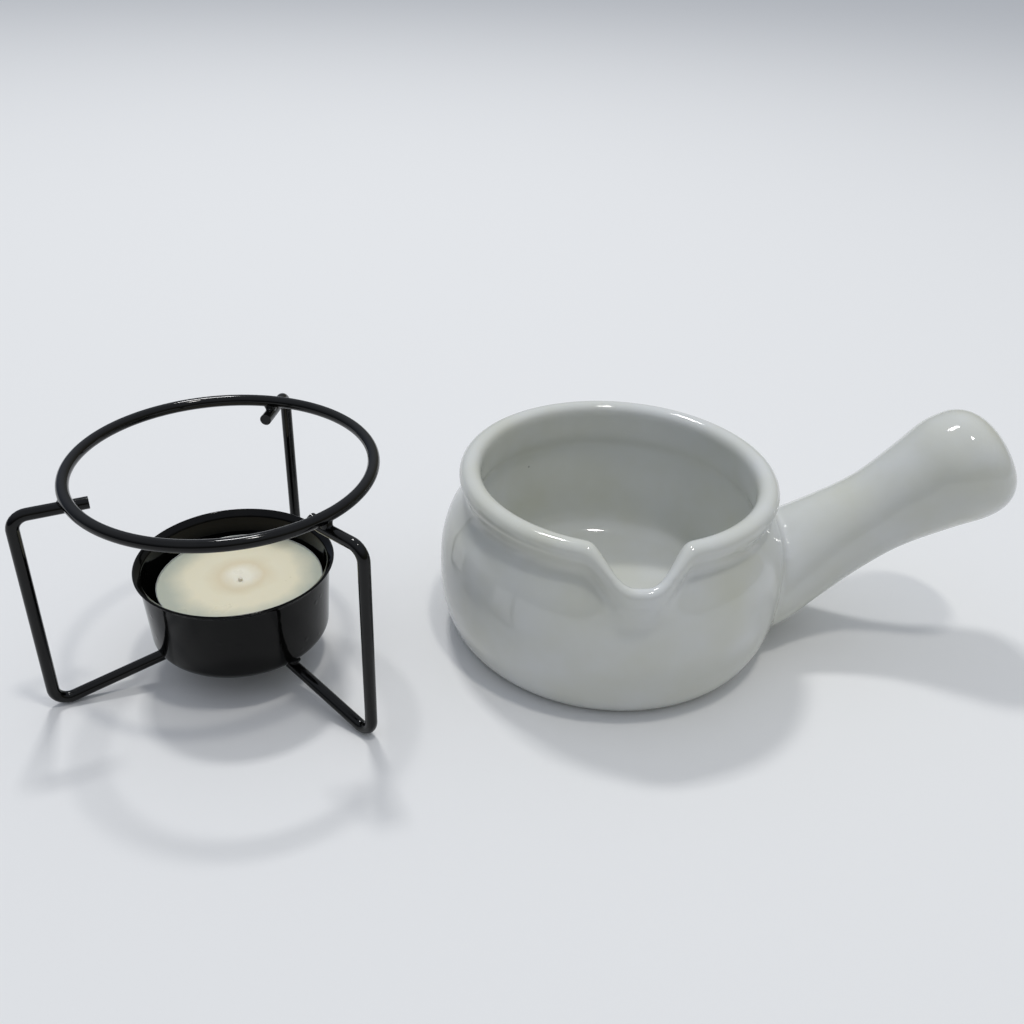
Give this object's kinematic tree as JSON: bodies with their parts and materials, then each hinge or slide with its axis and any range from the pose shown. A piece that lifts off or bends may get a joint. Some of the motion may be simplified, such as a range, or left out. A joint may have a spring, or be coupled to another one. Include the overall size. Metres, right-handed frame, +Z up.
{
  "type": "candle melting pot",
  "caption": "Small white porcelain pot with a pouring spout and a rising side handle, beside a black wire stand whose low round holder takes a tealight.",
  "frame": {"origin": "middle of the footprint's bounding box, on the table", "axes": "+X from the stand towards the pot's handle, along the handle; the pot pours towards -Y; +Z up"},
  "size_m": [0.2272, 0.0928, 0.059],
  "materials": {
    "stand_enamel": "gloss",
    "holder_enamel": "gloss",
    "candle_foil": "satin",
    "candle_wax": "satin",
    "wick_cotton": "matte",
    "sustainer_tin": "satin",
    "pot_glaze": "gloss"
  },
  "bodies": {
    "stand": {"stand_ring": "stand_enamel", "leg_left": "stand_enamel", "leg_right": "stand_enamel", "leg_rear": "stand_enamel", "tealight_holder": "holder_enamel"},
    "tealight": {"candle_cup": "candle_foil", "wax": "candle_wax", "wick": "wick_cotton", "wick_sustainer": "sustainer_tin"},
    "pot": {"pot_bowl": "pot_glaze", "pot_handle": "pot_glaze"}
  },
  "joints": [
    {"name": "tealight_lift", "type": "slide", "parent": "stand", "child": "tealight", "axis": [0, 0, 1], "range_m": [0, 0.05]},
    {"name": "pot_lift", "type": "slide", "parent": "stand", "child": "pot", "axis": [0, 0, 1], "range_m": [0, 0.06]}
  ]
}
